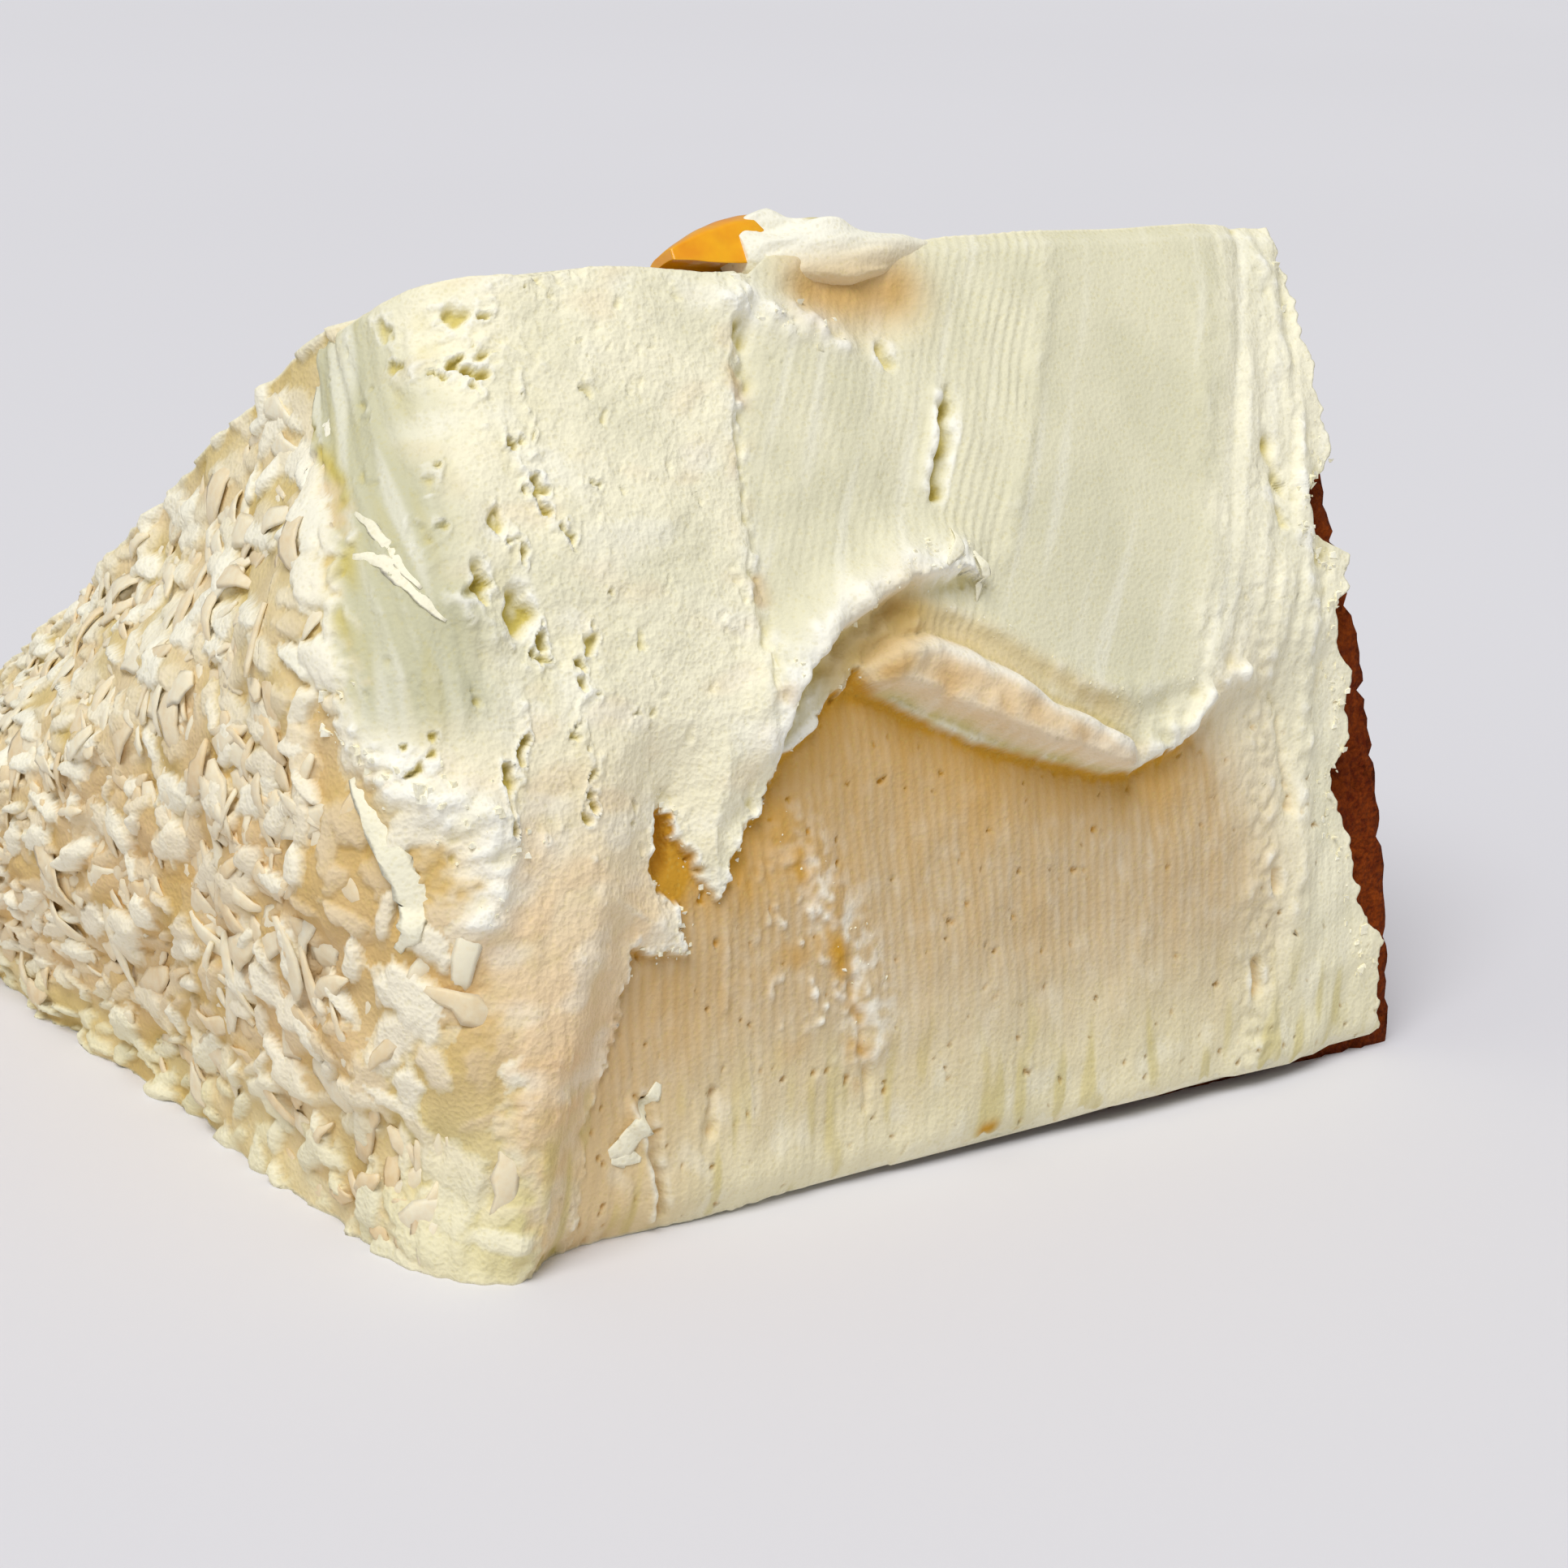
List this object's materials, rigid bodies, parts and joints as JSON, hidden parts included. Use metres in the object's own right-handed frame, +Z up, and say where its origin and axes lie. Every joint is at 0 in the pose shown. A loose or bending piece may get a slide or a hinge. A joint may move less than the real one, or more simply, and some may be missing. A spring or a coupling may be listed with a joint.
{
  "type": "frosted coconut pound cake slice",
  "caption": "Wedge of round pound cake lying on a cut side, white frosting torn and combed on its outer wall, shredded coconut on its top, browned bottom edge bare.",
  "frame": {"origin": "middle of the slice's bounding box, on the surface that it lies on", "axes": "+X from the coconut top of the cake to its browned bottom, +Y from the frosted outer wall to the point of the slice, +Z up"},
  "size_m": [0.0954, 0.1156, 0.0674],
  "materials": {
    "cake": "dense baked crumb, browned on the outside",
    "frosting": "soft white buttercream with coconut shreds",
    "fruit": "moist candied fruit"
  },
  "bodies": {
    "root": {"cake_slice": "cake", "frosting": "frosting", "fruit_piece": "fruit"}
  },
  "joints": []
}
